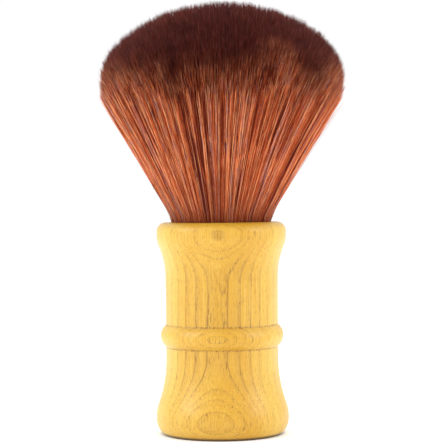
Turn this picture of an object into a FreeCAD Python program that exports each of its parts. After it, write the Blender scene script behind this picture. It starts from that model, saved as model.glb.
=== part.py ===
import FreeCAD, Part
import math
import os
import Sketcher

# Neck duster brush: a turned wooden handle that stands on its foot, with a dense round tuft of
# filaments glued into a blind socket in its rim. Millimetres, +Z up, origin at the centre of the
# foot, front of the brush towards -Y. Every outline below is drawn in a body's XZ plane, where
# across is the distance from the brush's axis and up is the height above the foot.

SIZES = [
    ("handle_height", 73.5, "foot to the top of the rim"),
    ("waist_radius", 19.55, "straight part of the handle"),
    ("base_swell", 3.55, "how far the base stands out from the waist"),
    ("base_level", 5.8, "height of the base's widest circle"),
    ("base_roundness", 14.5, "radius of the base's convex curve"),
    ("base_top", 26.5, "height where the base's curve has run into the waist"),
    ("foot_inset", 2.6, "how far the foot's edge lies inside the base's widest circle"),
    ("rim_swell", 2.9, "how far the rim stands out from the waist"),
    ("rim_level", 4.6, "depth of the rim's widest circle below the top"),
    ("rim_roundness", 9.5, "radius of the rim's convex curve"),
    ("rim_flare", 14.5, "length of the curve from the waist to the rim's widest circle"),
    ("rim_rounding", 3.1, "rounding of the rim's outer edge"),
    ("bead_level", 34.2, "height of the bead's middle"),
    ("bead_stand", 1.85, "how far the bead stands out from the waist"),
    ("bead_width", 7.5, "height of the bead where it leaves the waist"),
    ("bead_cove", 0.5, "hollow rounding above and below the bead"),
    ("socket_wall", 2.6, "wood between the socket and the waist's surface"),
    ("socket_depth", 16.0, "top of the rim to the socket's floor"),
    ("mouth_rounding", 0.8, "rounding of the socket's mouth"),
    ("glue_floor", 1.2, "adhesive under the root plug"),
    ("glue_wall", 0.6, "adhesive round the root plug"),
    ("plug_height", 9.0, "resin disc that holds the roots"),
    ("thread_size", 0.9, "diameter of the binding thread"),
    ("thread_turns", 3, "turns of the binding thread"),
    ("thread_clearance", 0.05, "gap between the thread, its own turns and its groove"),
    ("root_clearance", 0.15, "gap between the outer locks and the socket's wall"),
    ("inner_depth", 5.8, "depth of an inner lock, from the core outwards, at the plug"),
    ("outer_depth", 5.5, "depth of an outer lock at the plug"),
    ("ring_gap", 0.3, "gap between one ring of locks and the next"),
    ("lock_gap", 1.0, "angle left open between neighbours in a ring, in degrees"),
    ("inner_locks", 6, "locks in the inner ring"),
    ("outer_locks", 12, "locks in the outer ring"),
    ("bend_level", 1.7, "depth below the rim's top where the outer filaments start to lean out"),
    ("bend_radius", 12.0, "radius of that bend"),
    ("tuft_radius", 43.0, "widest circle of the tuft"),
    ("tuft_shoulder", 48.5, "height of that circle above the rim's top"),
    ("shoulder_rounding", 4.0, "rounding between the tuft's flank and its widest circle"),
    ("dome_rise", 28.0, "height of the tips' dome above the tuft's widest circle"),
    ("dome_flat", 1.0, "radius of the flat spot at the very top of the dome"),
]

# Places that several pieces share, as expressions on the sheet.
BASE_RADIUS = "(Sizes.waist_radius + Sizes.base_swell)"
FOOT_RADIUS = f"({BASE_RADIUS} - Sizes.foot_inset)"
RIM_RADIUS = "(Sizes.waist_radius + Sizes.rim_swell)"
RIM_LEVEL = "(Sizes.handle_height - Sizes.rim_level)"
BEAD_RADIUS = "(Sizes.waist_radius + Sizes.bead_stand)"
SOCKET_RADIUS = "(Sizes.waist_radius - Sizes.socket_wall)"
SOCKET_FLOOR = "(Sizes.handle_height - Sizes.socket_depth)"
PLUG_RADIUS = f"({SOCKET_RADIUS} - Sizes.glue_wall)"
PLUG_FLOOR = f"({SOCKET_FLOOR} + Sizes.glue_floor)"
PLUG_TOP = f"({PLUG_FLOOR} + Sizes.plug_height)"
THREAD_PITCH = "(Sizes.thread_size + Sizes.thread_clearance)"
GROOVE_HEIGHT = f"((Sizes.thread_turns + 1) * {THREAD_PITCH} + Sizes.thread_clearance)"
GROOVE_FLOOR = f"({PLUG_FLOOR} + (Sizes.plug_height - {GROOVE_HEIGHT}) / 2)"
GROOVE_RADIUS = f"({PLUG_RADIUS} - Sizes.thread_size - 2 * Sizes.thread_clearance)"
TUFT_ROOT = f"({SOCKET_RADIUS} - Sizes.root_clearance)"
RING_ROOT = f"({TUFT_ROOT} - Sizes.outer_depth)"
CORE_ROOT = f"({RING_ROOT} - Sizes.inner_depth)"
TUFT_LEVEL = "(Sizes.handle_height + Sizes.tuft_shoulder)"

START, END, CENTRE = 1, 2, 3        # the points of a sketched line or arc
ORIGIN = (-1, START)
ACROSS_AXIS, UP_AXIS = -1, -2
SAME_PLACE = 0.0001                 # edges closer than this to a place lie on it

document = FreeCAD.newDocument("neck_duster_brush")
sheet = document.addObject("Spreadsheet::Sheet", "Sizes")
for row, (alias, size, meaning) in enumerate(SIZES, start=1):
    sheet.set(f"A{row}", meaning)
    sheet.set(f"B{row}", str(size))
    sheet.setAlias(f"B{row}", alias)
document.recompute()


def number(expression):
    """The present value of an expression on the sheet."""
    result = sheet.evalExpression(expression)
    return float(getattr(result, "Value", result))


def new_body(label):
    """An empty body that carries the name of its file."""
    body = document.addObject("PartDesign::Body", label)
    body.Label = label
    return body


def new_sketch(body, name):
    """An empty sketch in the body's XZ plane."""
    sketch = body.newObject("Sketcher::SketchObject", name)
    plane = next(item for item in body.Origin.OriginFeatures if item.Role == "XZ_Plane")
    sketch.AttachmentSupport = [(plane, "")]
    sketch.MapMode = "FlatFace"
    return sketch


def bind(sketch, kind, *arguments, to):
    """One dimension of a sketch, tied to an expression."""
    index = sketch.addConstraint(Sketcher.Constraint(kind, *arguments, number(to)))
    sketch.setExpression(f"Constraints[{index}]", to)


class Outline:
    """A closed outline in a body's XZ plane, drawn from point to point like a pen stroke.

    A point is a pair of expressions, (distance from the axis, height). Each new point is pinned
    to its expressions, and each new stroke starts where the last one ended.
    """

    def __init__(self, body, name, start):
        self.sketch = new_sketch(body, name)
        self.first = None
        self.last = None
        self.begin = start
        self.at = self.place(start)

    def place(self, point):
        """A pair of expressions as a point of the plane."""
        return FreeCAD.Vector(number(point[0]), number(point[1]), 0)

    def rule(self, kind, *arguments):
        """One geometric rule of the outline, such as Coincident or Tangent."""
        self.sketch.addConstraint(Sketcher.Constraint(kind, *arguments))

    def pin(self, end, point):
        """Holds the end of a stroke at a point."""
        across, up = point
        for kind, axis, distance in (("DistanceX", UP_AXIS, across), ("DistanceY", ACROSS_AXIS, up)):
            if distance == "0":
                self.rule("PointOnObject", *end, axis)
            else:
                bind(self.sketch, kind, *ORIGIN, *end, to=distance)

    def add(self, geometry, start_code, end_code, joint="Coincident"):
        """Adds a stroke and joins it to the one before."""
        index = self.sketch.addGeometry(geometry, False)
        if self.last is None:
            self.first = (index, start_code)
            self.pin(self.first, self.begin)
        else:
            self.rule(joint, *self.last, index, start_code)
        self.last = (index, end_code)
        return index

    def line_to(self, point):
        """A straight stroke to a pinned point."""
        target = self.place(point)
        self.add(Part.LineSegment(self.at, target), START, END)
        self.pin(self.last, point)
        self.at = target

    def arc(self, centre, target, joint="Coincident"):
        """The shorter arc about a centre, its far end still free."""
        first = math.atan2(self.at.y - centre.y, self.at.x - centre.x)
        second = math.atan2(target.y - centre.y, target.x - centre.x)
        circle = Part.Circle(centre, FreeCAD.Vector(0, 0, 1), centre.distanceToPoint(target))
        if (second - first) % (2 * math.pi) < math.pi:
            index = self.add(Part.ArcOfCircle(circle, first, second), START, END, joint)
        else:
            index = self.add(Part.ArcOfCircle(circle, second, first), END, START, joint)
        self.at = target
        return index

    def bow_to(self, point):
        """An arc to a pinned point where it ends upright, so its centre is level with that point."""
        start, target = self.at, self.place(point)
        across, up = target.x - start.x, target.y - start.y
        radius = (across ** 2 + up ** 2) / (2 * across)
        index = self.arc(FreeCAD.Vector(target.x - radius, target.y, 0), target)
        self.pin(self.last, point)
        self.rule("Horizontal", index, CENTRE, *self.last)

    def bow_on_to(self, point):
        """An arc to a pinned point that goes on upright from the stroke before it."""
        start, target = self.at, self.place(point)
        across, up = start.x - target.x, target.y - start.y
        radius = (across ** 2 + up ** 2) / (2 * across)
        self.arc(FreeCAD.Vector(start.x - radius, start.y, 0), target, "Tangent")
        self.pin(self.last, point)

    def wave_to(self, point, first_radius=None, last_radius=None):
        """Two tangent arcs to a pinned point, upright at both ends; the radius of one is given."""
        start, target = self.at, self.place(point)
        across, up = target.x - start.x, target.y - start.y
        turn = 2 * math.atan2(abs(across), abs(up))
        both = abs(up) / math.sin(turn)
        if first_radius:
            share = number(first_radius) / both
        else:
            share = 1 - number(last_radius) / both
        middle = start + (target - start) * share
        side = math.copysign(1, across)
        before = self.last
        first = self.arc(start + FreeCAD.Vector(side * both * share, 0, 0), middle)
        self.rule("Horizontal", first, CENTRE, *before)
        second = self.arc(target - FreeCAD.Vector(side * both * (1 - share), 0, 0), target, "Tangent")
        self.pin(self.last, point)
        self.rule("Horizontal", second, CENTRE, *self.last)
        if first_radius:
            bind(self.sketch, "Radius", first, to=first_radius)
        else:
            bind(self.sketch, "Radius", second, to=last_radius)

    def level_to_axis(self):
        """A level stroke to the brush's axis, at whatever height the outline has reached."""
        target = FreeCAD.Vector(0, self.at.y, 0)
        index = self.add(Part.LineSegment(self.at, target), START, END)
        self.rule("Horizontal", index)
        self.rule("PointOnObject", *self.last, UP_AXIS)
        self.at = target

    def close(self):
        """A straight stroke back to the start."""
        start = self.place(self.begin)
        self.add(Part.LineSegment(self.at, start), START, END)
        self.rule("Coincident", *self.last, *self.first)
        document.recompute()


def spin(body, name, outline, angle="360", cut=False):
    """Turns an outline about the brush's axis, as new material or as a cut."""
    kind = "PartDesign::Groove" if cut else "PartDesign::Revolution"
    before = body.Shape.Volume if cut else 0
    feature = body.newObject(kind, name)
    feature.Profile = outline.sketch
    feature.ReferenceAxis = (outline.sketch, ["V_Axis"])
    feature.Midplane = True
    feature.setExpression("Angle", angle)
    document.recompute()
    if cut and body.Shape.Volume >= before:
        raise RuntimeError(f"{name} removed nothing")


def circle_edges(body, radius, levels):
    """The circles of a body that have this radius and one of these heights."""
    names = []
    for index, edge in enumerate(body.Shape.Edges, start=1):
        curve = edge.Curve
        if isinstance(curve, Part.Circle) and abs(curve.Radius - number(radius)) < SAME_PLACE:
            if any(abs(curve.Center.z - number(level)) < SAME_PLACE for level in levels):
                names.append(f"Edge{index}")
    return names


def round_edges(body, name, edges, size):
    """Rounds edges of the body's latest feature."""
    base = body.Tip
    feature = body.newObject("PartDesign::Fillet", name)
    feature.Base = (base, edges)
    feature.setExpression("Radius", size)
    document.recompute()


def make_handle():
    """The turned handle: foot, swelling base, waist with its bead, flared rim and blind socket."""
    body = new_body("handle")
    turned = Outline(body, "turned_outline", ("0", "0"))
    turned.line_to((FOOT_RADIUS, "0"))
    turned.bow_to((BASE_RADIUS, "Sizes.base_level"))
    turned.wave_to(("Sizes.waist_radius", "Sizes.base_top"), first_radius="Sizes.base_roundness")
    turned.line_to(("Sizes.waist_radius", f"({RIM_LEVEL} - Sizes.rim_flare)"))
    turned.wave_to((RIM_RADIUS, RIM_LEVEL), last_radius="Sizes.rim_roundness")
    turned.line_to((RIM_RADIUS, "Sizes.handle_height"))
    turned.line_to(("0", "Sizes.handle_height"))
    turned.close()
    spin(body, "turned_blank", turned)

    # The bead is a part of a circle through its crown and its two feet, set into the waist.
    low = "(Sizes.bead_level - Sizes.bead_width / 2)"
    high = "(Sizes.bead_level + Sizes.bead_width / 2)"
    inside = "(Sizes.waist_radius - Sizes.bead_stand)"
    bead = Outline(body, "bead_outline", (inside, low))
    bead.line_to(("Sizes.waist_radius", low))
    bead.bow_to((BEAD_RADIUS, "Sizes.bead_level"))
    bead.bow_on_to(("Sizes.waist_radius", high))
    bead.line_to((inside, high))
    bead.close()
    spin(body, "bead", bead)

    socket = Outline(body, "socket_outline", ("0", "Sizes.handle_height"))
    socket.line_to(("0", SOCKET_FLOOR))
    socket.line_to((SOCKET_RADIUS, SOCKET_FLOOR))
    socket.line_to((SOCKET_RADIUS, "Sizes.handle_height"))
    socket.close()
    spin(body, "socket", socket, cut=True)

    top = ["Sizes.handle_height"]
    round_edges(body, "rim_rounding", circle_edges(body, RIM_RADIUS, top), "Sizes.rim_rounding")
    round_edges(body, "mouth_rounding", circle_edges(body, SOCKET_RADIUS, top), "Sizes.mouth_rounding")
    coves = circle_edges(body, "Sizes.waist_radius", [low, high])
    round_edges(body, "bead_coves", coves, "Sizes.bead_cove")
    return body


def make_adhesive():
    """The cup of glue between the socket and the root plug."""
    body = new_body("adhesive_bed")
    cup = Outline(body, "cup_outline", ("0", SOCKET_FLOOR))
    cup.line_to((SOCKET_RADIUS, SOCKET_FLOOR))
    cup.line_to((SOCKET_RADIUS, PLUG_TOP))
    cup.line_to((PLUG_RADIUS, PLUG_TOP))
    cup.line_to((PLUG_RADIUS, PLUG_FLOOR))
    cup.line_to(("0", PLUG_FLOOR))
    cup.close()
    spin(body, "glue_cup", cup)
    return body


def make_plug():
    """The resin disc that holds the roots, with a groove for the binding thread."""
    body = new_body("root_plug")
    disc = Outline(body, "disc_outline", ("0", PLUG_FLOOR))
    disc.line_to((PLUG_RADIUS, PLUG_FLOOR))
    disc.line_to((PLUG_RADIUS, PLUG_TOP))
    disc.line_to(("0", PLUG_TOP))
    disc.close()
    spin(body, "disc", disc)

    groove_top = f"({GROOVE_FLOOR} + {GROOVE_HEIGHT})"
    groove = Outline(body, "groove_outline", (GROOVE_RADIUS, GROOVE_FLOOR))
    groove.line_to((PLUG_RADIUS, GROOVE_FLOOR))
    groove.line_to((PLUG_RADIUS, groove_top))
    groove.line_to((GROOVE_RADIUS, groove_top))
    groove.close()
    spin(body, "thread_groove", groove, cut=True)
    return body


def make_thread():
    """The binding thread, wound as a close helix in the plug's groove."""
    body = new_body("binding_thread")
    section = new_sketch(body, "thread_section")
    thread_radius = "(Sizes.thread_size / 2)"
    across = f"({GROOVE_RADIUS} + Sizes.thread_clearance + {thread_radius})"
    up = f"({GROOVE_FLOOR} + Sizes.thread_clearance + {thread_radius})"
    middle = FreeCAD.Vector(number(across), number(up), 0)
    circle = Part.Circle(middle, FreeCAD.Vector(0, 0, 1), number(thread_radius))
    thread = section.addGeometry(circle, False)
    bind(section, "DistanceX", *ORIGIN, thread, CENTRE, to=across)
    bind(section, "DistanceY", *ORIGIN, thread, CENTRE, to=up)
    bind(section, "Radius", thread, to=thread_radius)
    document.recompute()
    winding = body.newObject("PartDesign::AdditiveHelix", "winding")
    winding.Profile = section
    winding.ReferenceAxis = (section, ["V_Axis"])
    winding.Mode = "pitch-turns-angle"
    winding.setExpression("Pitch", THREAD_PITCH)
    winding.setExpression("Turns", "Sizes.thread_turns")
    document.recompute()
    return body


def dome_point(radius):
    """The point of the tips' dome at a distance from the axis."""
    share = number(radius) / number("Sizes.tuft_radius")
    height = number(TUFT_LEVEL) + number("Sizes.dome_rise") * math.sqrt(1 - share ** 2)
    return FreeCAD.Vector(number(radius), height, 0)


def dome_to(outline, radius):
    """The stroke along the tips' dome: part of an ellipse, to a distance from the axis."""
    centre = outline.place(("0", TUFT_LEVEL))
    wide = FreeCAD.Vector(number("Sizes.tuft_radius"), 0, 0)
    tall = FreeCAD.Vector(0, number("Sizes.dome_rise"), 0)
    target = dome_point(radius)
    first = math.acos(min(1, outline.at.x / wide.x))
    second = math.acos(min(1, target.x / wide.x))
    ellipse = Part.Ellipse(centre + wide, centre + tall, centre)
    index = outline.add(Part.ArcOfEllipse(ellipse, first, second), START, END)
    outline.sketch.exposeInternalGeometry(index)
    major, minor = index + 1, index + 2
    outline.rule("PointOnObject", index, CENTRE, UP_AXIS)
    bind(outline.sketch, "DistanceY", *ORIGIN, index, CENTRE, to=TUFT_LEVEL)
    outline.rule("Horizontal", major)
    bind(outline.sketch, "Distance", major, to="2 * Sizes.tuft_radius")
    bind(outline.sketch, "Distance", minor, to="2 * Sizes.dome_rise")
    bind(outline.sketch, "DistanceX", *ORIGIN, *outline.last, to=radius)
    outline.at = target
    return index


def spread(root):
    """How far from the axis the filaments end that leave the plug at a distance from it."""
    return f"({root} * Sizes.tuft_radius / {TUFT_ROOT})"


def ray_to_dome(outline, radius):
    """A straight stroke up to the dome at a distance from the axis; its height comes from the dome."""
    target = dome_point(radius)
    outline.add(Part.LineSegment(outline.at, target), START, END)
    bind(outline.sketch, "DistanceX", *ORIGIN, *outline.last, to=radius)
    outline.at = target


def flank_to_shoulder(outline):
    """Up the socket's wall, out in a bend, along the straight flank and round the shoulder."""
    bend = number("Sizes.bend_radius")
    rounding = number("Sizes.shoulder_rounding")
    bend_level = "(Sizes.handle_height - Sizes.bend_level)"
    outline.line_to((TUFT_ROOT, bend_level))
    bend_centre = outline.at + FreeCAD.Vector(bend, 0, 0)
    round_centre = outline.place(("Sizes.tuft_radius", TUFT_LEVEL)) - FreeCAD.Vector(rounding, 0, 0)
    between = round_centre - bend_centre
    lean = math.atan2(between.x, between.y) + math.asin((bend + rounding) / between.Length)
    outwards = FreeCAD.Vector(math.cos(lean), -math.sin(lean), 0)
    bend_arc = outline.arc(bend_centre, bend_centre - outwards * bend, "Tangent")
    bind(outline.sketch, "Radius", bend_arc, to="Sizes.bend_radius")
    flank_end = round_centre + outwards * rounding
    outline.add(Part.LineSegment(outline.at, flank_end), START, END, "Tangent")
    outline.at = flank_end
    shoulder = outline.place(("Sizes.tuft_radius", TUFT_LEVEL))
    round_arc = outline.arc(round_centre, shoulder, "Tangent")
    bind(outline.sketch, "Radius", round_arc, to="Sizes.shoulder_rounding")
    return round_arc


def make_core():
    """The lock in the middle of the tuft, which leans nowhere."""
    body = new_body("bristle_core")
    root = f"({CORE_ROOT} - Sizes.ring_gap / 2)"
    outline = Outline(body, "core_outline", ("0", PLUG_TOP))
    outline.line_to((root, PLUG_TOP))
    ray_to_dome(outline, f"({spread(CORE_ROOT)} - Sizes.ring_gap / 2)")
    dome_to(outline, "Sizes.dome_flat")
    outline.level_to_axis()
    outline.close()
    spin(body, "core", outline)
    return body


def sector_angle(count):
    """The angle of one lock in a ring of this many."""
    return f"360 / {count} - Sizes.lock_gap"


def turn_about_axis(body, step, count):
    """Turns a lock to its own place in the ring."""
    body.Placement = FreeCAD.Placement(
        FreeCAD.Vector(0, 0, 0), FreeCAD.Rotation(FreeCAD.Vector(0, 0, 1), 360 * step / count)
    )


def make_inner_lock(index, count):
    """One lock of the inner ring, between the core and the outer ring."""
    body = new_body(f"bristle_inner_{index + 1}")
    inside = f"({CORE_ROOT} + Sizes.ring_gap / 2)"
    outline = Outline(body, f"inner_outline_{index + 1}", (inside, PLUG_TOP))
    outline.line_to((f"({RING_ROOT} - Sizes.ring_gap / 2)", PLUG_TOP))
    ray_to_dome(outline, f"({spread(RING_ROOT)} - Sizes.ring_gap / 2)")
    dome_to(outline, f"({spread(CORE_ROOT)} + Sizes.ring_gap / 2)")
    outline.close()
    spin(body, f"inner_lock_{index + 1}", outline, sector_angle("Sizes.inner_locks"))
    turn_about_axis(body, index + 0.25, count)
    return body


def make_outer_lock(index, count):
    """One lock of the outer ring, which shows from outside down to the rim."""
    body = new_body(f"bristle_outer_{index + 1:02d}")
    inside = f"({RING_ROOT} + Sizes.ring_gap / 2)"
    outline = Outline(body, f"outer_outline_{index + 1:02d}", (inside, PLUG_TOP))
    outline.line_to((TUFT_ROOT, PLUG_TOP))
    round_arc = flank_to_shoulder(outline)
    dome = dome_to(outline, f"({spread(RING_ROOT)} + Sizes.ring_gap / 2)")
    outline.rule("Horizontal", dome, CENTRE, dome, START)
    outline.rule("Horizontal", dome, CENTRE, round_arc, CENTRE)
    outline.close()
    spin(body, f"outer_lock_{index + 1:02d}", outline, sector_angle("Sizes.outer_locks"))
    turn_about_axis(body, index + 0.5, count)
    return body


def check(pieces):
    """Stops the build if any object failed or any piece is not one sound solid."""
    for item in document.Objects:
        if "Invalid" in item.State or "Error" in item.State:
            raise RuntimeError(f"{item.Label} failed: {item.State}")
    for piece in pieces:
        shape = piece.Shape
        if shape.isNull() or not shape.isValid() or len(shape.Solids) != 1:
            raise RuntimeError(f"{piece.Label} is not one sound solid")


def write(pieces):
    """Writes each piece to a file of its own name."""
    os.makedirs("parts", exist_ok=True)
    for piece in pieces:
        piece.Shape.exportStep(f"parts/{piece.Label}.step")
        print(f"{piece.Label}: {piece.Shape.Volume:.1f} mm3")


inner_count = int(number("Sizes.inner_locks"))
outer_count = int(number("Sizes.outer_locks"))
pieces = [make_handle(), make_adhesive(), make_plug(), make_thread(), make_core()]
pieces += [make_inner_lock(index, inner_count) for index in range(inner_count)]
pieces += [make_outer_lock(index, outer_count) for index in range(outer_count)]
document.recompute()
check(pieces)
write(pieces)
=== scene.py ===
"""Neck duster brush: a turned wooden handle and a dense fan of two-tone filaments."""

import math

import bpy
import numpy as np
from mathutils import Euler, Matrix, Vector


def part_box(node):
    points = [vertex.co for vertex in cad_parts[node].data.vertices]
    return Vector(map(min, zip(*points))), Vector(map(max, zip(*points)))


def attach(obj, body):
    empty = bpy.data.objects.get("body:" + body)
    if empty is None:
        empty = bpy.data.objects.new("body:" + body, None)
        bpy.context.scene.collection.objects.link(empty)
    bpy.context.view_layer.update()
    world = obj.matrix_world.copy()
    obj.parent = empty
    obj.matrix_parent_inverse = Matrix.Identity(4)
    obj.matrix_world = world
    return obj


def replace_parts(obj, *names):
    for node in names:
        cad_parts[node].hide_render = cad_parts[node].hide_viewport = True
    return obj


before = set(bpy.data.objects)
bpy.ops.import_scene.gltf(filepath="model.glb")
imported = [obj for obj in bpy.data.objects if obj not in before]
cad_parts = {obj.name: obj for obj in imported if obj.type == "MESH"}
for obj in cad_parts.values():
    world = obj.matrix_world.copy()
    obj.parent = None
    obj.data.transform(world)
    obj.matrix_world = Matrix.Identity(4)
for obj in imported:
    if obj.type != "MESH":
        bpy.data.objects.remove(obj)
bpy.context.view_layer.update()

# ---------------------------------------------------------------------------------------------
# Handle. One flat-sawn blank of pale ring-porous hardwood, turned between centres to a waisted
# profile with one bead, bored at the rim for the tuft, sanded and dipped in clear satin lacquer.
# ---------------------------------------------------------------------------------------------


class Wire:
    """One output of a material's node. Python's operators on it add Math nodes."""

    def __init__(self, socket):
        self.socket = socket

    def node(self, kind, settings, *values, **named):
        """Adds a node: its settings first, then its sockets' values or wires, by order or name."""
        made = self.socket.id_data.nodes.new(kind)
        for name, setting in settings.items():
            setattr(made, name, setting)
        sockets = [socket for socket in made.inputs if socket.enabled]
        pairs = list(zip(sockets, values))
        for name, value in named.items():
            pairs.append((next(s for s in sockets if s.name == name), value))
        for socket, value in pairs:
            if isinstance(value, Wire):
                self.socket.id_data.links.new(value.socket, socket)
            else:
                socket.default_value = value
        return Wire(next(socket for socket in made.outputs if socket.enabled))

    def math(self, operation, *others):
        return self.node("ShaderNodeMath", {"operation": operation}, self, *others)

    def __add__(self, other):
        return self.math("ADD", other)

    def __radd__(self, other):
        return self.math("ADD", other)

    def __sub__(self, other):
        return self.math("SUBTRACT", other)

    def __rsub__(self, other):
        return self.node("ShaderNodeMath", {"operation": "SUBTRACT"}, other, self)

    def __mul__(self, other):
        return self.math("MULTIPLY", other)

    def __rmul__(self, other):
        return self.math("MULTIPLY", other)

    def __pow__(self, other):
        return self.math("POWER", other)

    def ease(self, low, high, start=0.0, end=1.0):
        """Goes smoothly from start, at low, to end, at high."""
        settings = {"interpolation_type": "SMOOTHSTEP"}
        return self.node("ShaderNodeMapRange", settings, self, low, high, start, end)

    def ramp(self, low, high, start=0.0, end=1.0):
        """Goes evenly from start, at low, to end, at high."""
        return self.node("ShaderNodeMapRange", {}, self, low, high, start, end)

    def stretch(self, x, y, z):
        """A place scaled by its own number along each axis."""
        return self.node("ShaderNodeVectorMath", {"operation": "MULTIPLY"}, self, (x, y, z))

    def split(self):
        """The three parts of a place, as three wires."""
        parts = self.node("ShaderNodeSeparateXYZ", {}, self).socket.node.outputs
        return [Wire(part) for part in parts]

    def noise(self, detail=2.0, roughness=0.5):
        """Cloudy noise at this place, about 0 to 1, with lumps one unit apart."""
        grade = {"Scale": 1.0, "Detail": detail, "Roughness": roughness}
        return self.node("ShaderNodeTexNoise", {}, Vector=self, **grade)

    def between(self, first, second):
        """The colour this far, 0 to 1, on the way from the first to the second."""
        return self.node("ShaderNodeMix", {"data_type": "RGBA"}, self, first, second)

    def mix(self, share, other):
        """This colour with a share of the other laid over it."""
        return self.node("ShaderNodeMix", {"data_type": "RGBA"}, share, self, other)

    def feed(self, shader, name):
        self.socket.id_data.links.new(self.socket, shader.inputs[name])


def tint(red, green, blue):
    """A colour picked on a screen, 0 to 255, as the light it stands for."""
    light = []
    for shown in (red / 255, green / 255, blue / 255):
        light.append(shown / 12.92 if shown < 0.04045 else ((shown + 0.055) / 1.055) ** 2.4)
    return [*light, 1.0]


def new_finish(name, **constants):
    """An empty material: the material, its shader, and the place on the object in millimetres."""
    material = bpy.data.materials.new(name)
    material.use_nodes = True
    tree = material.node_tree
    shader = tree.nodes["Principled BSDF"]
    for socket, value in constants.items():
        shader.inputs[socket.replace("_", " ")].default_value = value
    place = Wire(tree.nodes.new("ShaderNodeTexCoord").outputs["Object"]).stretch(1000, 1000, 1000)
    return material, shader, place


def relief(height, shader, depth):
    """Raises the surface by this height, 0 to 1, where 1 stands for depth millimetres."""
    bump = height.node("ShaderNodeBump", {}, Strength=1.0, Distance=depth * 0.001, Height=height)
    bump.feed(shader, "Normal")


def dress(node, material):
    """Gives a CAD node its finish."""
    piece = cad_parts[node]
    piece.data.materials.clear()
    piece.data.materials.append(material)


PITH_BEHIND = 110.0  # mm from the handle's axis back to the middle of the tree
PITH_ASIDE = 12.5  # mm from the handle's axis to one side, at the foot
PITH_LEAN = -0.1  # mm that the pith moves aside for each mm up
GOOD_YEAR = 4.5  # mm of wood grown in a good year
# The end of each year's ring, in mm before the axis. The years got leaner towards the bark.
RING_EDGES = [-22.5 + GOOD_YEAR * year for year in range(6)]
RING_EDGES += [4.6, 8.4, 11.6, 14.4, 16.6, 18.25, 19.28, 20.4, 21.2, 22.45, 24.2]
PORE_FADE = 0.5  # mm over which a ring's open pores close up
LATE_WOOD = 0.14  # mm of dense wood that ends a ring

PALE_WOOD = tint(216, 180, 78)
HONEY_WOOD = tint(198, 148, 30)
BROWN_WOOD = tint(162, 116, 44)
RING_LINE = tint(122, 76, 22)
PORE_BROWN = tint(78, 44, 14)
# Painted contact shadow along the foot's bottom edge, where it stands on the floor.
FOOT_CONTACT_SHADOW = tint(60, 34, 18)

# Level and reach, in mm, of the bead, the rim and the base, where sanding has blurred the rings.
SANDED_SWELLS = ((34.2, 4.5), (70.0, 12.0), (6.0, 13.0))
BEAD_CREASES = (30.3, 38.1)  # mm above the foot, where the bead meets the waist


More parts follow.
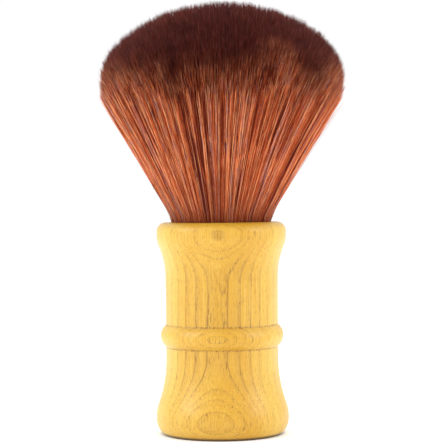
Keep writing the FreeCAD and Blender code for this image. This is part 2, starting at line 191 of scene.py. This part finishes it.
def lacquered_wood():
    """Growth rings in the solid, so that they show as ovals and arrowheads where it bulges."""
    material, shader, place = new_finish(
        "lacquered_wood",
        Specular_IOR_Level=0.4,
        Coat_Weight=0.3,
        Coat_Roughness=0.28,
    )
    wander = place.stretch(0.012, 0.012, 0.03).noise(1.0)
    shake = place.stretch(0.22, 0.22, 0.05).noise(2.0)
    across, depth, height = place.split()
    pith = height * PITH_LEAN + PITH_ASIDE
    radius = ((across - pith) ** 2 + (depth - PITH_BEHIND) ** 2).math("SQRT")
    grown = radius - (pith**2 + PITH_BEHIND**2).math("SQRT")
    grown = grown + (wander - 0.5) * 0.22 + (shake - 0.5) * 0.1

    # The year and season in which this wood grew, and how open or dense it is for that.
    years = 0.0
    for start, end in zip(RING_EDGES, RING_EDGES[1:]):
        years = grown.ramp(start, end) + years
    season = years.math("FRACT")
    year = years.math("FLOOR") + 0.5
    ring_width = grown.ease(8.0, 18.5, 3.6, 1.05)
    strength = year.node("ShaderNodeTexWhiteNoise", {"noise_dimensions": "1D"}, year)
    porous = (season * ring_width * (-1 / PORE_FADE)).math("EXPONENT")
    late = ((1.0 - season) * ring_width).ease(0.0, LATE_WOOD, 1.0, 0.0)

    # Patches, fibres, open pores, short flecks and the marks of the turning tool.
    clouds = place.stretch(0.12, 0.12, 0.03).noise(3.0)
    fibre = place.stretch(2.6, 2.6, 0.05).noise(3.0, 0.6)
    fine_fibre = place.stretch(6.0, 6.0, 0.25).noise(2.0, 0.6)
    pores = place.stretch(3.4, 3.4, 0.38).noise(1.0).ease(0.56, 0.64)
    flecks = place.stretch(5.0, 5.0, 0.55).noise(0.0).ease(0.66, 0.74)
    turning = place.stretch(0.02, 0.02, 3.2).noise(2.0)

    share = clouds.ease(0.35, 0.7) * 0.3 + fibre.ease(0.35, 0.7) * 0.5
    # Painted light: paler towards the left and right sides, where the side lamps fall.
    share = share + across.ease(-20.0, -2.0, -0.25, 0.15) - across.ease(6.0, 20.0, 0.0, 0.2)
    share = share + grown.ease(12.0, 19.0, 0.0, 0.35)
    colour = share.between(PALE_WOOD, HONEY_WOOD)

    # The rings show strongly in some years and places, faintly on the sanded swells, and most of
    # all nearest the bark.
    patchy = place.stretch(0.25, 0.25, 0.09).noise(1.0).ease(0.35, 0.65, 0.3, 1.0)
    clear = 1.0
    for level, reach in SANDED_SWELLS:
        clear = (height - level).math("ABSOLUTE").ease(0.5 * reach, reach, 0.35, 1.0) * clear
    shown = strength * patchy * clear
    by_bark = grown.ease(20.9, 21.15, 0.0, 0.25)
    dark = (shown * 0.55 + clear * 0.4 + by_bark) * fine_fibre.ease(0.2, 0.7, 0.45, 1.0)
    colour = colour.mix(porous * (shown * 0.3 + clear * 0.2), BROWN_WOOD)
    colour = colour.mix(late * dark, RING_LINE)
    colour = colour.mix(pores * porous**3.0 * (patchy * 0.6 + 0.3), PORE_BROWN)
    colour = colour.mix(flecks * 0.4, RING_LINE)
    colour = colour.mix(turning.ease(0.55, 0.75) * 0.16, BROWN_WOOD)

    # Painted shade darkens the creases beside the bead, along with lacquer and dust lying in them,
    # and a painted contact shadow darkens the foot's bottom edge.
    for crease in BEAD_CREASES:
        away = (height - crease).math("ABSOLUTE")
        crease_shade_and_dust = away.ease(0.1, 0.45, 0.3, 0.0) * fine_fibre.ease(0.3, 0.6, 0.3, 1.0)
        colour = colour.mix(crease_shade_and_dust, RING_LINE)
        colour = colour.mix(away.ease(0.15, 0.45, 0.7, 0.0) * pores, PORE_BROWN)
    # Painted contact shadow: the bottom 1.3 mm of the foot is darkened where it meets the floor.
    colour = colour.mix(height.ease(0.3, 1.3, 0.9, 0.0), FOOT_CONTACT_SHADOW)
    colour.feed(shader, "Base Color")
    (0.42 + fibre * 0.12 + pores * porous * 0.2).feed(shader, "Roughness")
    relief(fine_fibre * 0.3 + turning * 0.3 + (1.0 - pores * porous), shader, 0.03)
    return material


dress("handle", lacquered_wood())

# ---------------------------------------------------------------------------------------------
# Adhesive bed. A cup of clear amber epoxy poured into the socket before the tuft is pushed home;
# it wets the socket's floor and wall, and small air bubbles stay in it.
# ---------------------------------------------------------------------------------------------

AMBER = tint(196, 142, 62)
PALE_AMBER = tint(226, 184, 110)


def amber_epoxy():
    """Cloudy amber with a pale ring round each bubble."""
    material, shader, place = new_finish("amber_epoxy", Coat_Weight=0.5, Coat_Roughness=0.1)
    clouds = place.stretch(0.3, 0.3, 0.3).noise(3.0)
    bubble = place.node("ShaderNodeTexVoronoi", {}, Vector=place, Scale=1.4)
    rim = bubble.ease(0.12, 0.2, 1.0, 0.0)
    colour = clouds.between(AMBER, PALE_AMBER)
    colour.mix(rim * 0.4, PALE_AMBER).feed(shader, "Base Color")
    (0.15 + clouds * 0.15).feed(shader, "Roughness")
    relief(clouds * 0.5 + rim, shader, 0.05)
    return material


dress("adhesive_bed", amber_epoxy())

# ---------------------------------------------------------------------------------------------
# Root plug. The butt of the knot: all filament roots cast together in dark resin and trimmed flat,
# so its face shows the cut filaments as close-set dots.
# ---------------------------------------------------------------------------------------------

RESIN_BROWN = tint(58, 34, 22)
CUT_FILAMENT = tint(150, 78, 44)


def cast_resin():
    """Dark resin, dotted with cut filaments on its flat faces."""
    material, shader, place = new_finish("cast_resin", Specular_IOR_Level=0.5)
    upright = place.stretch(1.0, 1.0, 0.02)
    dots = upright.node("ShaderNodeTexVoronoi", {}, Vector=upright, Scale=5.0)
    cut = dots.ease(0.25, 0.4, 1.0, 0.0)
    clouds = place.stretch(0.4, 0.4, 0.4).noise(3.0)
    colour = cut.between(RESIN_BROWN, CUT_FILAMENT)
    colour.mix(clouds * 0.3, RESIN_BROWN).feed(shader, "Base Color")
    (0.25 + cut * 0.3).feed(shader, "Roughness")
    relief(cut + clouds * 0.3, shader, 0.03)
    return material


dress("root_plug", cast_resin())

# ---------------------------------------------------------------------------------------------
# Binding thread. Waxed two-ply cotton wound three times round the knot while the resin sets, in a
# groove of the plug, so that it never stands proud.
# ---------------------------------------------------------------------------------------------

COTTON = tint(214, 196, 160)
COTTON_SHADE = tint(140, 116, 84)
PLY_TWISTS = 90.0  # radians that the ply's twist turns for each radian round the plug
PLY_SLANT = 7.0  # radians that it turns for each mm up


def waxed_cotton():
    """Two plies twisted together, fluffy where the wax has worn."""
    material, shader, place = new_finish("waxed_cotton", Sheen_Weight=0.3)
    across, depth, height = place.split()
    round_plug = depth.math("ARCTAN2", across)
    ply = (round_plug * PLY_TWISTS + height * PLY_SLANT).math("SINE") * 0.5 + 0.5
    fluff = place.stretch(6.0, 6.0, 6.0).noise(3.0)
    share = ply.ease(0.1, 0.8) * 0.7 + fluff * 0.3
    share.between(COTTON_SHADE, COTTON).feed(shader, "Base Color")
    (0.55 + fluff * 0.25).feed(shader, "Roughness")
    relief(ply + fluff * 0.3, shader, 0.06)
    return material


dress("binding_thread", waxed_cotton())

# ---------------------------------------------------------------------------------------------
# Filaments. Thousands of tapered synthetic filaments, orange-brown and dyed dark at the tips. They
# leave the plug upright, fan out over the rim and end in one clipped dome. They hang together in
# locks, and each lock is made filament by filament in place of its CAD solid.
# ---------------------------------------------------------------------------------------------

PLUG_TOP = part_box("root_plug")[1].z * 1000  # mm above the foot
RIM_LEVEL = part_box("handle")[1].z * 1000
ROOT_RADIUS = 16.8  # mm, the outermost filaments' roots
FAN_SLOPE = 0.598  # how far the outermost filaments lean out for each mm they rise
BEND_START = PLUG_TOP + 6.8  # mm, where a filament begins to lean
BEND_ROUND = 1.0  # mm over which it takes up the lean
FLARE = 0.07  # share of the lean that it only takes up near the tips
DOME_POWER = 1.8  # 2 would make the dome an ellipse, less draws its shoulders in
TUFT_RADIUS = 42.4  # mm
DOME_LEVEL = 122.0  # mm above the foot, the widest circle of the tips
DOME_RISE = 28.1  # mm from there to the top of the tips
BELOW_DOME = 8.0  # mm under the widest circle, the lowest that a clipped end is looked for
HALVINGS = 22  # a filament's end is found to 0.01 micrometres
TIP_LEAN = 1.2  # mm that the tips are combed to one side
FREE_RISE = 55.0  # mm, about how far a filament rises from its bend to its tip
FILAMENT_WIDTH = 0.16  # mm
TIP_LENGTH = 12.0  # mm from a filament's tip down to the ring below its dye line
TAPER = 3.0  # mm over which a filament's end comes to a point
KINK = 0.13  # mm that a filament strays from its own smooth line
WISP_SPACING = 0.2  # mm between wisps at the roots
WISP_HOLD = 0.3  # how far a filament is drawn towards its wisp's middle
TRESS_SPACING = 1.3  # mm between tresses at the roots
GATHER_WAVES = 0.6  # half waves from bend to tip in which a wisp draws together and parts
WEAVE_WAVES = 2.4  # half waves from bend to tip in which wisps cross one another
RAGGED_ROOT = 14.0  # mm, root radius outside which the tips end raggedly
CORNERS = np.radians([0.0, 120.0, 240.0])  # a filament's three edges

rng = np.random.default_rng(4171)


def height_over_bend(z):
    """How far a filament has risen since it began to lean, eased in at the bend."""
    rise = BEND_ROUND * np.logaddexp(0.0, (z - BEND_START) / BEND_ROUND)
    return rise * (1 - FLARE + FLARE * rise / (DOME_LEVEL - BEND_START))


def inside_dome(radius, z):
    """Whether a point is under the clipped dome of tips."""
    over = np.clip((z - DOME_LEVEL) / DOME_RISE, 0.0, None)
    return (radius / TUFT_RADIUS) ** DOME_POWER + over**2 < 1.0


def clipped_height(root):
    """The height at which a filament with this root radius meets the dome, found by halving."""
    low = np.full(len(root), DOME_LEVEL - BELOW_DOME)
    high = np.full(len(root), DOME_LEVEL + DOME_RISE)
    for _ in range(HALVINGS):
        middle = (low + high) / 2
        radius = root * (1 + FAN_SLOPE / ROOT_RADIUS * height_over_bend(middle))
        under = inside_dome(radius, middle)
        low = np.where(under, middle, low)
        high = np.where(under, high, middle)
    return low


# How deep the dip in dye reached, in mm, at these azimuths in degrees: for the outermost
# filaments, and for those of the dome's shoulder a few millimetres further in.
DYE_AZIMUTHS = [0, 30, 60, 90, 120, 150, 180, 205, 230]
RIM_DYES = [-3.5, -3, -2.5, -4, -2.5, -3, -3.5, -3, -3.2]
SHOULDER_DYES = [6, 6, 6, 4, 6, 3.5, 7, 8, 8]
DYE_AZIMUTHS += [242, 247, 253, 270, 285, 295, 304, 314, 330]
RIM_DYES += [-2.5, 1.5, -3, -3, -2.8, -4.2, -4, -1, -3]
SHOULDER_DYES += [8, 10, 7.5, 9, 7.5, 4.4, 4.2, 9, 7.5]
CROWN_DYE = 8.0  # mm, all over the top of the dome
CROWN_ROOT = 12.0  # mm, root radius inside which the crown begins
CROWN_FADE = 3.0  # mm of root radius over which it begins
SHOULDER_IN = 2.7  # mm from the outermost roots in to those of the shoulder


def dye_reach(azimuth, root):
    """Millimetres of dark dye at the tips, below 0 for paler tips. It wanders round the tuft, is
    least at the rim of the dome, and is deep all over its top."""
    at_rim = np.interp(np.degrees(azimuth), DYE_AZIMUTHS, RIM_DYES, period=360)
    at_shoulder = np.interp(np.degrees(azimuth), DYE_AZIMUTHS, SHOULDER_DYES, period=360)
    inside = 1 - np.exp(-(((ROOT_RADIUS - root) / SHOULDER_IN) ** 1.3))
    on_top = np.clip((CROWN_ROOT - root) / CROWN_FADE, 0.0, 1.0)
    return at_rim + (at_shoulder - at_rim) * inside + (CROWN_DYE - at_shoulder) * on_top


def gather(flat, area, spacing):
    """Groups neighbours: each filament's group, the number of groups, its group's centre."""
    groups = max(3, int(area / spacing**2))
    centres = flat[rng.choice(len(flat), groups, replace=False)]
    nearest = np.empty(len(flat), int)
    for first in range(0, len(flat), 1000):
        apart = flat[first : first + 1000, None, :] - centres[None, :, :]
        nearest[first : first + 1000] = (apart**2).sum(2).argmin(1)
    return nearest, groups, centres[nearest]


def comb(azimuth_from, azimuth_to, inner, outer, count):
    """How the filaments of one lock stand: arrays with one entry for each filament."""
    root = np.sqrt(rng.uniform(inner**2, outer**2, count))
    azimuth = rng.uniform(azimuth_from, azimuth_to, count)
    flat = np.stack([root * np.cos(azimuth), root * np.sin(azimuth)], 1)
    area = (azimuth_to - azimuth_from) / 2 * (outer**2 - inner**2)
    wisp, wisps, wisp_centre = gather(flat, area, WISP_SPACING)
    tress, tresses, _ = gather(flat, area, TRESS_SPACING)
    sideways = flat[:, ::-1] * [-1, 1] / ROOT_RADIUS

    # Where they go: mm at the roots, which the fan spreads.
    wisp_push = rng.normal(0.0, 0.1, (wisps, 2))[wisp]
    wisp_weave = rng.normal(0.0, 0.1, (wisps, 2))[wisp]
    tress_push = rng.normal(0.0, 0.08, (tresses, 2))[tress]
    own_push = rng.normal(0.0, 0.12, (count, 2)) + sideways * rng.normal(0.0, 0.3, (count, 1))

    # How light they are, 0 to 1: dark wisps and tresses among the rest, with painted light on the
    # left and right flanks and painted shade at the front and back.
    painted_flank_light = 0.02 + 0.1 * np.cos(2 * azimuth)
    wisp_tone = (rng.normal(0.0, 0.24, wisps) - 0.35 * (rng.random(wisps) < 0.12))[wisp]
    tress_tone = (rng.normal(0.0, 0.04, tresses) - 0.14 * (rng.random(tresses) < 0.1))[tress]
    own_tone = rng.normal(0.02, 0.25, count)

    # Where they end and how deep they are dyed, in mm. The rim of the dome is the most ragged.
    wisp_length = rng.normal(0.0, 0.3, wisps)[wisp]
    tress_length = rng.normal(0.0, 0.2, tresses)[tress]
    own_length = 0.3 - rng.exponential(0.65, count)
    at_rim = np.clip((root - RAGGED_ROOT) / (ROOT_RADIUS - RAGGED_ROOT), 0.0, 1.0)
    ragged_rim = at_rim * rng.exponential(1.6, count)
    wisp_dye = rng.normal(0.0, 0.3, wisps)[wisp]
    tress_dye = rng.normal(0.0, 0.3, tresses)[tress]
    own_dye = rng.normal(0.0, 0.4, count)

    return {
        "flat": flat,
        "root": root,
        "gather": (wisp_centre - flat) * WISP_HOLD,
        "push": wisp_push + tress_push + own_push,
        "bow": sideways * rng.normal(0.0, 0.15, (count, 1)),
        "weave": wisp_weave,
        "length": wisp_length + tress_length + own_length - ragged_rim,
        "tone": np.clip(0.5 + painted_flank_light + wisp_tone + tress_tone + own_tone, 0.02, 0.98),
        "dye": dye_reach(azimuth, root) + wisp_dye + tress_dye + own_dye,
        "turn": rng.uniform(0.0, 2 * math.pi, count),
    }


def centre_line(lock, z):
    """Where each filament's middle is at height z, in millimetres."""
    rise = height_over_bend(z)
    share = rise / FREE_RISE
    spread = 1 + FAN_SLOPE / ROOT_RADIUS * rise
    pulled = lock["flat"] + lock["gather"] * np.sin(math.pi * GATHER_WAVES * share)[:, None]
    pulled += lock["push"] * share[:, None]
    pulled += lock["bow"] * np.sin(math.pi * share)[:, None]
    pulled += lock["weave"] * np.sin(math.pi * WEAVE_WAVES * share)[:, None]
    x, y = (pulled * spread[:, None]).T
    combed = np.clip((z - RIM_LEVEL) / (DOME_LEVEL - RIM_LEVEL), 0.0, 1.05) ** 3
    x = x + TIP_LEAN * combed * (0.85 - 0.3 * (lock["root"] / ROOT_RADIUS) ** 2)
    return np.stack([x, y, z], 1)


TONE_STRIP = 0.008  # how much of OFBake's width one filament takes
DYE_LINE = 0.8  # where the dye ends on OFBake's height
MARK_PER_MM = 0.02  # OFBake's height to a millimetre near the dye


def filament_mesh(name, rings, tips, widths, tone, dye_marks, turn):
    """One mesh of many filaments: three-sided tapered rods that end in a point.
    OFBake's U is a filament's tone, and its V, from dye_marks, runs from root to tip."""
    count, levels = len(tips), len(rings)
    along = tips - rings[0]
    along /= np.linalg.norm(along, axis=1, keepdims=True)

    # Two directions across each filament, and its three edges' points at every ring.
    side = np.cross(along, [0.0, 0.0, 1.0] + along[:, ::-1] * 0.3)
    side /= np.linalg.norm(side, axis=1, keepdims=True)
    other = np.cross(along, side)
    corners = []
    for ring, width in zip(rings, widths):
        for corner in CORNERS:
            angle = turn + corner
            arm = side * np.cos(angle)[:, None] + other * np.sin(angle)[:, None]
            corners.append(ring + arm * width / 2)
    points = np.stack([*corners, tips], 1) * 0.001
    per = levels * 3 + 1

    # The faces of one filament, and then of all of them: quads first, and triangles at the ends.
    quads = []
    for level in range(levels - 1):
        for corner in range(3):
            following = (corner + 1) % 3
            low, high = level * 3, level * 3 + 3
            quads.append([low + corner, low + following, high + following, high + corner])
    last = (levels - 1) * 3
    triangles = [[last + corner, last + (corner + 1) % 3, last + 3] for corner in range(3)]
    triangles.append([2, 1, 0])
    first = np.arange(count)[:, None] * per
    quad_loops = (first + np.array(quads).ravel()).ravel()
    triangle_loops = (first + np.array(triangles).ravel()).ravel()
    loops = np.concatenate([quad_loops, triangle_loops])
    sizes = np.concatenate([np.full(count * len(quads), 4), np.full(count * 4, 3)])
    starts = np.concatenate([[0], np.cumsum(sizes)[:-1]])

    mesh = bpy.data.meshes.new(name)
    mesh.vertices.add(count * per)
    mesh.vertices.foreach_set("co", points.astype(np.float32).ravel())
    mesh.loops.add(len(loops))
    mesh.loops.foreach_set("vertex_index", loops.astype(np.int32))
    mesh.polygons.add(len(sizes))
    mesh.polygons.foreach_set("loop_start", starts.astype(np.int32))
    mesh.polygons.foreach_set("use_smooth", np.ones(len(sizes), bool))

    u = np.tile([0.0, TONE_STRIP, TONE_STRIP / 2], levels)
    u = tone[:, None] * 0.99 + np.append(u, TONE_STRIP / 2)
    v = np.stack([mark for mark in dye_marks[:-1] for corner in CORNERS] + [dye_marks[-1]], 1)
    coordinates = np.stack([u, v], 2).reshape(-1, 2)[loops]
    layer = mesh.uv_layers.new(name="OFBake")
    layer.data.foreach_set("uv", coordinates.astype(np.float32).ravel())
    mesh.update(calc_edges=True)
    mesh.validate()
    return mesh


FILAMENT_DARK = tint(92, 26, 12)
FILAMENT_RED = tint(168, 66, 32)
FILAMENT_ORANGE = tint(222, 110, 60)
FILAMENT_LIGHT = tint(250, 172, 118)
FILAMENT_MAUVE = tint(184, 132, 128)
TIP_DARK = tint(56, 12, 5)
TIP_BROWN = tint(82, 20, 9)
TIP_MAUVE = tint(106, 48, 37)


def dyed_filament():
    """Colour by tone, U, and by place along the filament, V."""
    material, shader, place = new_finish("dyed_filament", Specular_IOR_Level=0.1)
    strand = place.node("ShaderNodeUVMap", {"uv_map": "OFBake"})
    tone, along, _ = strand.split()
    streak = strand.stretch(160.0, 24.0, 0.0).noise(2.0)
    tone = tone + (streak - 0.5) * 0.6
    body = tone.ease(0.05, 0.4).between(FILAMENT_DARK, FILAMENT_RED)
    body = body.mix(tone.ease(0.3, 0.65), FILAMENT_ORANGE)
    body = body.mix(tone.ease(0.6, 0.88), FILAMENT_LIGHT)
    body = body.mix(tone.ease(0.93, 0.95), FILAMENT_MAUVE)
    tip = tone.ease(0.1, 0.9).between(TIP_DARK, TIP_BROWN)
    tip = tip.mix(tone.ease(0.88, 0.95), TIP_MAUVE)
    # Painted shade: the filaments darken towards their roots, where they crowd together into the
    # rim.
    body = body.mix(along.ease(0.1, 0.36, 0.58, 0.0), FILAMENT_DARK)
    dyed = (along + (streak - 0.5) * 0.04).ease(0.66, 0.9)
    body.mix(dyed, tip).feed(shader, "Base Color")
    (0.38 + streak * 0.15).feed(shader, "Roughness")
    return material


filament_finish = dyed_filament()


def put_in(name, mesh):
    """Makes a piece of this mesh of filaments and gives it their finish."""
    mesh.materials.append(filament_finish)
    piece = bpy.data.objects.new(name, mesh)
    bpy.context.scene.collection.objects.link(piece)
    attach(piece, "root")
    return piece


def dye_mark(dye, from_tip):
    """The place on OFBake's height of a point this far, in mm, from the tip."""
    return np.clip(DYE_LINE + MARK_PER_MM * (dye - from_tip), 0.4, 0.99)


def lock_of_filaments(name, node, azimuth_from, azimuth_to, inner, outer, count):
    """Builds one lock in place of its CAD solid."""
    lock = comb(math.radians(azimuth_from), math.radians(azimuth_to), inner, outer, count)
    tip_level = clipped_height(lock["root"]) + lock["length"]

    # Three rings up to just over the rim, three more below the dye, and one at the taper.
    levels = [np.full(count, level) for level in (PLUG_TOP, RIM_LEVEL - 0.5, RIM_LEVEL + 2.5)]
    marks = [np.full(count, mark) for mark in (0.0, 0.1, 0.17)]
    clear_of_rim, undyed = levels[2], marks[2]
    for share in (1 / 3, 2 / 3, 1.0):
        levels.append(clear_of_rim + share * (tip_level - TIP_LENGTH - clear_of_rim))
        marks.append(undyed + share * (dye_mark(lock["dye"], TIP_LENGTH) - undyed))
    levels.append(tip_level - TAPER)
    marks += [dye_mark(lock["dye"], TAPER), dye_mark(lock["dye"], 0.0)]

    rings = [centre_line(lock, level) for level in levels]
    for ring in rings[3:6]:
        ring[:, :2] += rng.normal(0.0, KINK, (count, 2))
    tips = centre_line(lock, tip_level)
    widths = [FILAMENT_WIDTH * share for share in (0.8, 0.9, 1.0, 1.0, 1.0, 1.0, 0.85)]
    mesh = filament_mesh(name, rings, tips, widths, lock["tone"], marks, lock["turn"])
    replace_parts(put_in(name, mesh), node)


CORE_ROOT = 5.5  # mm, root radius of the core lock
INNER_ROOT = 11.3  # mm, outer root radius of the inner locks
INNER_LOCKS = 6
INNER_TURN = 0.25  # of a lock, by which the inner ring is turned from the outer one
OUTER_LOCKS = 12
IN_CORE, IN_INNER_LOCK, IN_OUTER_LOCK = 4600, 4000, 4700  # filaments

lock_of_filaments("filaments_core", "bristle_core", 0, 360, 0.0, CORE_ROOT, IN_CORE)

for index in range(INNER_LOCKS):
    width = 360 / INNER_LOCKS
    start = width * (index - INNER_TURN)
    name = f"inner_{index + 1}"
    sector = (start, start + width, CORE_ROOT, INNER_ROOT)
    lock_of_filaments(f"filaments_{name}", f"bristle_{name}", *sector, IN_INNER_LOCK)

for index in range(OUTER_LOCKS):
    width = 360 / OUTER_LOCKS
    start = width * index
    name = f"outer_{index + 1:02d}"
    sector = (start, start + width, INNER_ROOT, ROOT_RADIUS)
    lock_of_filaments(f"filaments_{name}", f"bristle_{name}", *sector, IN_OUTER_LOCK)

# ---------------------------------------------------------------------------------------------
# Stray filaments. A few filaments that have sprung out of the fan all round it; they leave the rim
# with the rest and stand a little off the flank. They are thinner than the rest and get only the
# paler tones, painted light for how thin filaments look against the light.
# ---------------------------------------------------------------------------------------------

STRAYS = 130
STRAY_TIPS = (96.0, 120.0)  # mm above the foot
STRAY_THINNESS = 0.75  # of a filament's width


def stray_filaments():
    azimuth = rng.uniform(0.0, 2 * math.pi, STRAYS)
    root = np.full(STRAYS, ROOT_RADIUS)
    flat = np.stack([root * np.cos(azimuth), root * np.sin(azimuth)], 1)
    outward = flat / ROOT_RADIUS
    sprung = outward * rng.uniform(0.1, 1.1, STRAYS)[:, None]
    strays = {
        "flat": flat,
        "root": root,
        "gather": np.zeros((STRAYS, 2)),
        "push": sprung + rng.normal(0.0, 0.3, (STRAYS, 2)),
        "bow": outward * rng.uniform(-0.2, 0.4, STRAYS)[:, None],
        "weave": np.zeros((STRAYS, 2)),
    }
    tip_level = rng.uniform(*STRAY_TIPS, STRAYS)
    shares = (0.0, 0.1, 0.22, 0.4, 0.6, 0.8)
    levels = [PLUG_TOP + share * (tip_level - PLUG_TOP) for share in shares]
    rings = [centre_line(strays, level) for level in levels]
    widths = [FILAMENT_WIDTH * STRAY_THINNESS] * len(shares)
    marks = [np.full(STRAYS, 0.7 * share) for share in (*shares, 1.0)]
    # Painted light: paler tones, as thin filaments show against the light.
    tone = rng.uniform(0.5, 0.9, STRAYS)
    turn = rng.uniform(0.0, 2 * math.pi, STRAYS)
    tips = centre_line(strays, tip_level)
    mesh = filament_mesh("stray_filaments", rings, tips, widths, tone, marks, turn)
    put_in("stray_filaments", mesh)


stray_filaments()

# ---------------------------------------------------------------------------------------------
# Studio. A white paper floor with the brush standing on it, inside a white tent, with one soft box
# on each side and one overhead. A long lens looks at it from the front.
# ---------------------------------------------------------------------------------------------

FLOOR_SIDE = 6.0  # metres
PAPER_LIGHT = (0.98, 0.98, 0.98, 1.0)
PAPER_SHADE = (0.96, 0.96, 0.96, 1.0)


def white_paper():
    """Matt paper with a faint grain."""
    material, shader, place = new_finish("white_paper", Roughness=0.9, Specular_IOR_Level=0.0)
    grain = place.stretch(0.8, 0.8, 0.8).noise(2.0)
    grain.between(PAPER_SHADE, PAPER_LIGHT).feed(shader, "Base Color")
    return material


def lay_floor():
    mesh = bpy.data.meshes.new("floor")
    half = FLOOR_SIDE / 2
    corners = [(-half, -half, 0), (half, -half, 0), (half, half, 0), (-half, half, 0)]
    mesh.from_pydata(corners, [], [(0, 1, 2, 3)])
    mesh.materials.append(white_paper())
    floor = bpy.data.objects.new("floor", mesh)
    bpy.context.scene.collection.objects.link(floor)


def soft_box(name, place, target, size, power):
    """A square lamp in metres and watts, turned to face its target."""
    lamp = bpy.data.lights.new(name, "AREA")
    lamp.shape = "RECTANGLE"
    lamp.size = lamp.size_y = size
    lamp.energy = power
    lit = bpy.data.objects.new(name, lamp)
    lit.location = place
    away = np.array(target) - np.array(place)
    flat = math.hypot(away[0], away[1])
    lit.rotation_euler = Euler((math.atan2(flat, -away[2]), 0, math.atan2(-away[0], away[1])))
    bpy.context.scene.collection.objects.link(lit)


lay_floor()
soft_box("key_left", (-1.0, -0.45, 0.6), (0, 0, 0.07), 0.6, 6.0)
soft_box("fill_right", (1.0, -0.4, 0.5), (0, 0, 0.07), 0.6, 4.6)
soft_box("top", (0.0, 0.1, 1.1), (0, 0, 0), 0.9, 8.0)

TENT_LIGHT = 1.02
world = bpy.data.worlds.new("white_tent")
world.use_nodes = True
world.node_tree.nodes["Background"].inputs["Color"].default_value = (1, 1, 1, 1)
world.node_tree.nodes["Background"].inputs["Strength"].default_value = TENT_LIGHT
bpy.context.scene.world = world
bpy.context.scene.view_settings.view_transform = "Standard"

# Camera: a long lens a little over half a metre off, just above the height of the rim.
CAMERA_PLACE = (0.001, -0.574, 0.0828)  # metres
CAMERA_TILT, CAMERA_ROLL = 1.0, -0.5  # degrees
LONG_LENS = 132.6  # mm
camera_data = bpy.data.cameras.new("camera")
camera_data.lens = LONG_LENS
camera = bpy.data.objects.new("camera", camera_data)
camera.location = CAMERA_PLACE
camera.rotation_mode = "XYZ"
camera.rotation_euler = Euler((math.radians(90 - CAMERA_TILT), 0, 0))
camera.rotation_euler.rotate_axis("Z", math.radians(CAMERA_ROLL))
bpy.context.scene.collection.objects.link(camera)
bpy.context.scene.camera = camera
